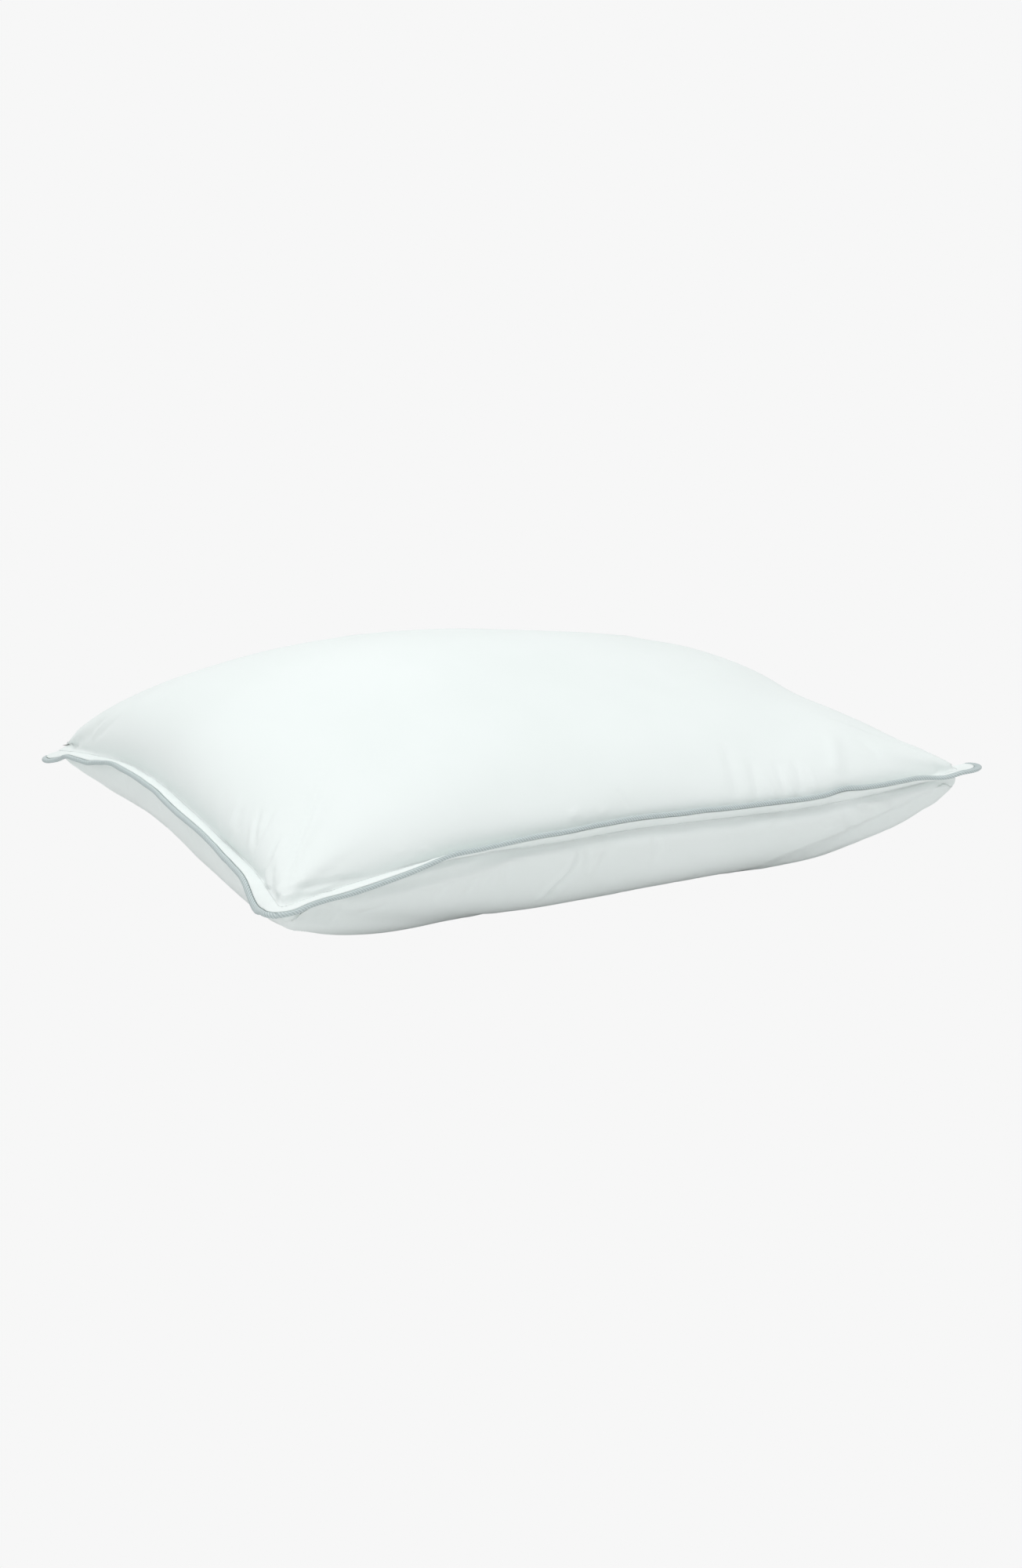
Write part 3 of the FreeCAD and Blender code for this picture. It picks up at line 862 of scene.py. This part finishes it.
def care_label():
    """A blank satin ribbon, folded once, hanging from the seam at the back."""
    low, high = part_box("care_label")
    width, drop = high.x - low.x, high.z - low.z
    centre_x, top, inner = (low.x + high.x) / 2, high.z - 0.001, low.y
    w, t = np.meshgrid(np.linspace(-0.5, 0.5, 21), np.linspace(0, 2, 61), indexing="ij")
    fall = np.minimum(t, 2 - t)
    belly = 0.0006 + 0.0009 * np.sin(math.pi * fall) ** 0.7
    apart = np.where(t < 1, -belly, belly) * np.clip(np.abs(t - 1) * 12, 0, 1) ** 0.5
    curl = 0.0022 * fall**2 * np.cos(2.4 * w) + 0.0008 * np.sin(5 * w + 2) * fall
    tilt = (high.y - low.y) * 0.5 * w
    y = inner + 0.0008 - tilt + apart + curl
    grid = np.stack([centre_x + width * w, y, top - drop * 0.97 * fall], -1)
    quads = grid_quads(*grid.shape[:2]).tolist()
    uv = np.stack([width * w, drop * t], -1).reshape(-1, 2)
    obj = linked("care_label_ribbon", mesh_with_uv("care_label_ribbon", grid.reshape(-1, 3), quads, uv))
    thick = obj.modifiers.new("thickness", "SOLIDIFY")
    thick.thickness = 0.0002
    thick.offset = 0.0
    return obj


def filling_layer(grid, side):
    """The lumpy surface of the filling under one panel."""
    coarse = grid[::2, ::2]
    depth = np.empty(coarse.shape[:2])
    for i, j in np.ndindex(depth.shape):
        place = Vector(coarse[i, j]) / CLUSTER
        lump = noise.noise(place) + 0.5 * noise.noise(place * 2.3)
        depth[i, j] = 0.0022 + 0.0016 * lump
    return coarse - side * depth[..., None] * grid_normals(coarse)


def filling(top, foot):
    """Loose clusters of filling, as one lumpy closed form just inside the panels."""
    layers = [filling_layer(top, 1), filling_layer(foot, -1)]
    n, m = layers[0].shape[:2]
    edge = ring_index(n, m)
    top_points, foot_points = (layer.reshape(-1, 3) for layer in layers)
    middle = (top_points[edge] + foot_points[edge]) / 2
    top_points[edge] = middle
    inner = np.setdiff1d(np.arange(n * m), edge)
    place = np.arange(n * m)
    place[inner] = n * m + np.arange(len(inner))
    quads = grid_quads(n, m)
    points = np.concatenate([top_points, foot_points[inner]])
    faces = np.concatenate([quads, place[quads][:, ::-1]])
    flat = flat_cut(n, m).reshape(-1, 3)
    uv = np.concatenate([flat, flat[inner]])[:, :2]
    return linked("filling_clusters", mesh_with_uv("filling_clusters", points, faces.tolist(), uv))


# ---------------------------------------------------------------- materials


class Nodes:
    """A small helper that builds one material's node tree."""

    def __init__(self, name, roughness, sheen, sheen_roughness, specular):
        self.material = bpy.data.materials.new(name)
        self.material.use_nodes = True
        self.tree = self.material.node_tree
        self.shader = self.tree.nodes["Principled BSDF"]
        self.shader.inputs["Roughness"].default_value = roughness
        self.shader.inputs["Sheen Weight"].default_value = sheen
        self.shader.inputs["Sheen Roughness"].default_value = sheen_roughness
        self.shader.inputs["Specular IOR Level"].default_value = specular

    def add(self, kind, **values):
        """A new node: names of its properties, or of its inputs with _ for each space."""
        node = self.tree.nodes.new(kind)
        for key, value in values.items():
            if hasattr(node, key):
                setattr(node, key, value)
            else:
                node.inputs[key.replace("_", " ")].default_value = value
        return node

    def link(self, source, target):
        """Joins an output to an input."""
        self.tree.links.new(source, target)

    def math(self, operation, a, b):
        """The result of a sum on two outputs or numbers."""
        node = self.add("ShaderNodeMath", operation=operation)
        for socket, value in zip(node.inputs, (a, b)):
            if isinstance(value, (int, float)):
                socket.default_value = value
            else:
                self.link(value, socket)
        return node.outputs[0]

    def noise(self, scale, detail):
        """Soft noise through the piece, in cycles per metre."""
        node = self.add("ShaderNodeTexNoise", Scale=scale, Detail=detail)
        self.link(self.add("ShaderNodeTexCoord").outputs["Object"], node.inputs["Vector"])
        return node.outputs["Fac"]

    def cloth_axes(self):
        """Distance along the cloth's two threads, in metres."""
        uv = self.add("ShaderNodeUVMap", uv_map="cloth")
        parts = self.add("ShaderNodeSeparateXYZ")
        self.link(uv.outputs["UV"], parts.inputs[0])
        return parts.outputs["X"], parts.outputs["Y"]

    def stripes(self, distance, pitch):
        """A sine along a distance, from -1 to 1."""
        return self.math("SINE", self.math("MULTIPLY", distance, 2 * math.pi / pitch), 0.0)

    def colour(self, factor, low, high, low_at=0.0, high_at=1.0):
        """The base colour, from low to high as the factor goes from low_at to high_at."""
        ramp = self.add("ShaderNodeValToRGB")
        ramp.color_ramp.elements[0].color = (*low, 1)
        ramp.color_ramp.elements[0].position = low_at
        ramp.color_ramp.elements[1].color = (*high, 1)
        ramp.color_ramp.elements[1].position = high_at
        self.link(factor, ramp.inputs[0])
        self.link(ramp.outputs[0], self.shader.inputs["Base Color"])

    def bump(self, height, distance, strength):
        """Fine relief, of at most the distance in metres."""
        node = self.add("ShaderNodeBump", Strength=strength, Distance=distance)
        self.link(height, node.inputs["Height"])
        self.link(node.outputs[0], self.shader.inputs["Normal"])

    def rough(self, factor, low, high):
        """The roughness, from low to high with the factor."""
        node = self.add("ShaderNodeMapRange", To_Min=low, To_Max=high)
        self.link(factor, node.inputs["Value"])
        self.link(node.outputs[0], self.shader.inputs["Roughness"])


THREAD_PITCH = 0.00042  # of the cotton's weave


def cotton_material():
    """Fine, smooth white cotton in plain weave."""
    m = Nodes("cotton_cloth", 0.85, 0.15, 0.5, 0.25)
    x, y = m.cloth_axes()
    weave = m.math("MULTIPLY", m.stripes(x, 2 * THREAD_PITCH), m.stripes(y, 2 * THREAD_PITCH))
    threads = m.math("ADD", m.stripes(x, THREAD_PITCH), m.stripes(y, THREAD_PITCH))
    slub = m.noise(900.0, 3.0)
    height = m.math("ADD", m.math("MULTIPLY", weave, 0.5), m.math("MULTIPLY", threads, 0.25))
    height = m.math("ADD", height, m.math("MULTIPLY", slub, 0.8))
    m.bump(height, 0.00004, 0.5)
    tone = m.math("ADD", m.math("MULTIPLY", m.noise(7.0, 3.0), 0.8), m.math("MULTIPLY", slub, 0.2))
    m.colour(tone, (0.785, 0.84, 0.825), (0.82, 0.87, 0.86), 0.3, 0.7)
    m.rough(slub, 0.78, 0.92)
    return m.material


def piping_material():
    """Grey-blue cotton cut on the bias, with fine diagonal twill."""
    m = Nodes("piping_cloth", 0.8, 0.1, 0.4, 0.3)
    x, y = m.cloth_axes()
    diagonal = m.math("ADD", x, m.math("MULTIPLY", y, TWILL_SLOPE))
    twill = m.stripes(diagonal, TWILL_PITCH)
    fine = m.stripes(m.math("ADD", x, y), 0.0006)
    fleck = m.noise(1500.0, 2.0)
    tone = m.math("ADD", m.math("MULTIPLY", twill, 0.28), m.math("MULTIPLY", fleck, 0.6))
    tone = m.math("ADD", tone, 0.2)
    m.colour(tone, (0.36, 0.43, 0.435), (0.62, 0.69, 0.69), 0.1, 0.9)
    height = m.math("ADD", m.math("MULTIPLY", fine, 0.5), fleck)
    m.bump(height, 0.00005, 0.6)
    m.rough(fleck, 0.7, 0.9)
    return m.material


def thread_material():
    """White sewing thread with its twist."""
    m = Nodes("sewing_thread", 0.6, 0.3, 0.4, 0.4)
    x, y = m.cloth_axes()
    twist = m.stripes(m.math("ADD", x, y), 0.00035)
    m.bump(twist, 0.00004, 0.7)
    # The twist also darkens the colour in its grooves and lightens it on its ridges: painted shade over the
    # thread's own white.
    m.colour(m.math("ADD", m.math("MULTIPLY", twist, 0.3), 0.5), (0.72, 0.76, 0.76), (0.84, 0.87, 0.87))
    m.rough(m.noise(2000.0, 2.0), 0.5, 0.75)
    return m.material


def ribbon_material():
    """White satin ribbon."""
    m = Nodes("label_ribbon", 0.5, 0.2, 0.3, 0.5)
    x, y = m.cloth_axes()
    weave = m.math("MULTIPLY", m.stripes(x, 0.0005), m.stripes(y, 0.0016))
    m.bump(weave, 0.00003, 0.6)
    m.colour(m.noise(60.0, 3.0), (0.78, 0.80, 0.79), (0.84, 0.86, 0.85), 0.3, 0.7)
    m.rough(weave, 0.42, 0.6)
    return m.material


def filling_material():
    """Soft white clusters of fibre."""
    m = Nodes("loose_fill", 1.0, 0.5, 0.6, 0.1)
    fibre = m.noise(420.0, 6.0)
    m.bump(fibre, 0.0012, 0.9)
    m.colour(m.noise(90.0, 5.0), (0.74, 0.72, 0.67), (0.88, 0.87, 0.83), 0.3, 0.7)
    return m.material


def cord_material():
    """Undyed twisted cotton."""
    m = Nodes("cord", 0.95, 0.3, 0.5, 0.15)
    x, y = m.cloth_axes()
    yarn = m.stripes(m.math("ADD", x, m.math("MULTIPLY", y, 1.2)), 0.0007)
    m.bump(m.math("ADD", yarn, m.noise(1200.0, 3.0)), 0.00008, 0.7)
    m.colour(m.noise(300.0, 3.0), (0.70, 0.66, 0.58), (0.82, 0.79, 0.72), 0.3, 0.7)
    return m.material


# ---------------------------------------------------------------- studio

PAPER_GLOW = 0.93
TABLE_WHITE = 0.88
SKY_COLOUR, SKY_STRENGTH = (1.0, 1.0, 1.0), 0.68
# Lights: name, place, aim, size, power and colour
LIGHTS = (
    ("key", (-0.2, -0.1, 2.4), (0, 0, 0.1), 1.6, 25.2, (1.0, 1.0, 1.0)),
    ("front_fill", (-2.2, -2.0, 1.1), (0, 0, 0.1), 1.6, 8.8, (1.0, 1.0, 1.0)),
)
CAMERA_AZIMUTH, CAMERA_ELEVATION, CAMERA_DISTANCE = -31.35, 14.47, 1.7575
CAMERA_AIM = (0, 0, 0.076)
CAMERA_LENS = 47.58
CAMERA_SHIFT = (0.0051, -0.0162)


def bowl():
    """Points and faces of a wide floor that curves up into a low round wall."""
    profile = [(r, 0.0) for r in (0.0, 0.5, 1.0, 2.0, 3.5, 5.0)]
    for k in range(1, 13):
        turn = k / 12 * math.pi / 2
        profile.append((5 + 2 * math.sin(turn), 2 - 2 * math.cos(turn)))
    turns = np.arange(72) * 2 * math.pi / 72
    rings = [[(r * math.cos(t), r * math.sin(t), z) for t in turns] for r, z in profile[1:]]
    points = [(0.0, 0.0, 0.0)] + [p for ring in rings for p in ring]
    faces = [(0, 1 + k, 1 + (k + 1) % 72) for k in range(72)]
    for j in range(len(rings) - 1):
        low, high = 1 + 72 * j, 1 + 72 * (j + 1)
        faces += [(low + k, high + k, high + (k + 1) % 72, low + (k + 1) % 72) for k in range(72)]
    return points, faces


def backdrop():
    """An evenly pale surface that only the camera sees, over a white one that only light sees."""
    points, faces = bowl()
    for name, white, glow in (("backdrop", 0.0, PAPER_GLOW), ("table_top", TABLE_WHITE, 0.0)):
        mesh = bpy.data.meshes.new(name)
        mesh.from_pydata(points, [], faces)
        mesh.shade_smooth()
        obj = linked(name, mesh)
        m = Nodes(name, 1.0, 0.0, 0.5, 0.0)
        m.colour(m.noise(3.0, 2.0), (white,) * 3, (white * 1.02,) * 3)
        m.shader.inputs["Emission Color"].default_value = (1, 1, 1, 1)
        m.shader.inputs["Emission Strength"].default_value = glow
        mesh.materials.append(m.material)
        seen = name == "backdrop"
        obj.visible_camera = seen
        obj.visible_diffuse = not seen
        obj.visible_glossy = not seen
        obj.visible_shadow = not seen
        obj.location.z = -0.0002 if seen else -0.0001


def soft_light(name, place, aim, size, power, colour):
    """A square area light."""
    light = bpy.data.lights.new(name, "AREA")
    light.shape = "SQUARE"
    light.size = size
    light.energy = power
    light.color = colour
    lamp = linked(name, light)
    lamp.location = place
    lamp.rotation_euler = (Vector(aim) - Vector(place)).to_track_quat("-Z", "Y").to_euler()


def sky():
    """Even light from all round."""
    world = bpy.data.worlds.new("studio")
    world.use_nodes = True
    background = world.node_tree.nodes["Background"]
    background.inputs["Color"].default_value = (*SKY_COLOUR, 1)
    background.inputs["Strength"].default_value = SKY_STRENGTH
    bpy.context.scene.world = world


def place_camera():
    """The camera, a little to the left of the front and a little above."""
    camera = bpy.data.cameras.new("camera")
    camera.lens = CAMERA_LENS
    camera.sensor_width = 36.0
    camera.shift_x, camera.shift_y = CAMERA_SHIFT
    eye = linked("camera", camera)
    a, e = math.radians(CAMERA_AZIMUTH), math.radians(CAMERA_ELEVATION)
    back = Vector((math.sin(a) * math.cos(e), -math.cos(a) * math.cos(e), math.sin(e)))
    eye.location = Vector(CAMERA_AIM) + back * CAMERA_DISTANCE
    eye.rotation_euler = (-back).to_track_quat("-Z", "Y").to_euler()
    bpy.context.scene.camera = eye
    bpy.context.scene.view_settings.view_transform = "Standard"


def studio():
    """A plain pale backdrop, soft overhead light and the camera."""
    backdrop()
    sky()
    for light in LIGHTS:
        soft_light(*light)
    place_camera()


# ---------------------------------------------------------------- the pillow


def finished(obj, material, slot, *nodes):
    """Gives a piece its material and body, and hides the nodes that it stands for. The slot is not used."""
    obj.data.materials.clear()
    obj.data.materials.append(material)
    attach(obj, "root")
    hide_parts(*nodes)
    return obj


def build_cloth():
    """Both panels, and the filling between them."""
    cotton = cotton_material()
    top_grid, top_places = plump_grid("top", top_form, 1)
    foot_grid, foot_places = plump_grid("foot", foot_form, -1)
    top = linked("top_panel_cotton", panel_mesh("top_panel_cotton", top_grid, top_places, 1))
    foot = linked("bottom_panel_cotton", panel_mesh("bottom_panel_cotton", foot_grid, foot_places, -1))
    finished(top, cotton, "cotton_cloth", "top_panel")
    finished(foot, cotton, "cotton_cloth", "bottom_panel")

    stuffing = finished(filling(top_grid, foot_grid), filling_material(), "loose_fill", "filling")


def build_edge():
    """The piping, its cord, every row of stitches and the label."""
    finished(piping_cover(), piping_material(), "piping_cloth", "piping_cover")
    finished(piping_cord(), cord_material(), "cord", "piping_cord")

    thread = thread_material()
    lift = 0.00095 + THREAD_R
    needle = flange_stitches("topstitch_needle", STITCH_OUT, lift)
    bobbin = flange_stitches("topstitch_bobbin", STITCH_OUT, -lift)
    finished(needle, thread, "thread", "topstitch_needle_thread")
    finished(bobbin, thread, "thread", "topstitch_bobbin_thread")
    closing = flange_stitches("closing_stitches", 0.004, 0.0015 + THREAD_R, 1.31, 1.69)
    finished(closing, thread, "thread", "closing_seam_thread")
    joining = flange_stitches("joining_stitches", 0.0091, 0.0004)
    finished(joining, thread, "thread", "joining_seam_thread")
    finished(care_label(), ribbon_material(), "label_ribbon", "care_label")


build_cloth()
build_edge()
studio()
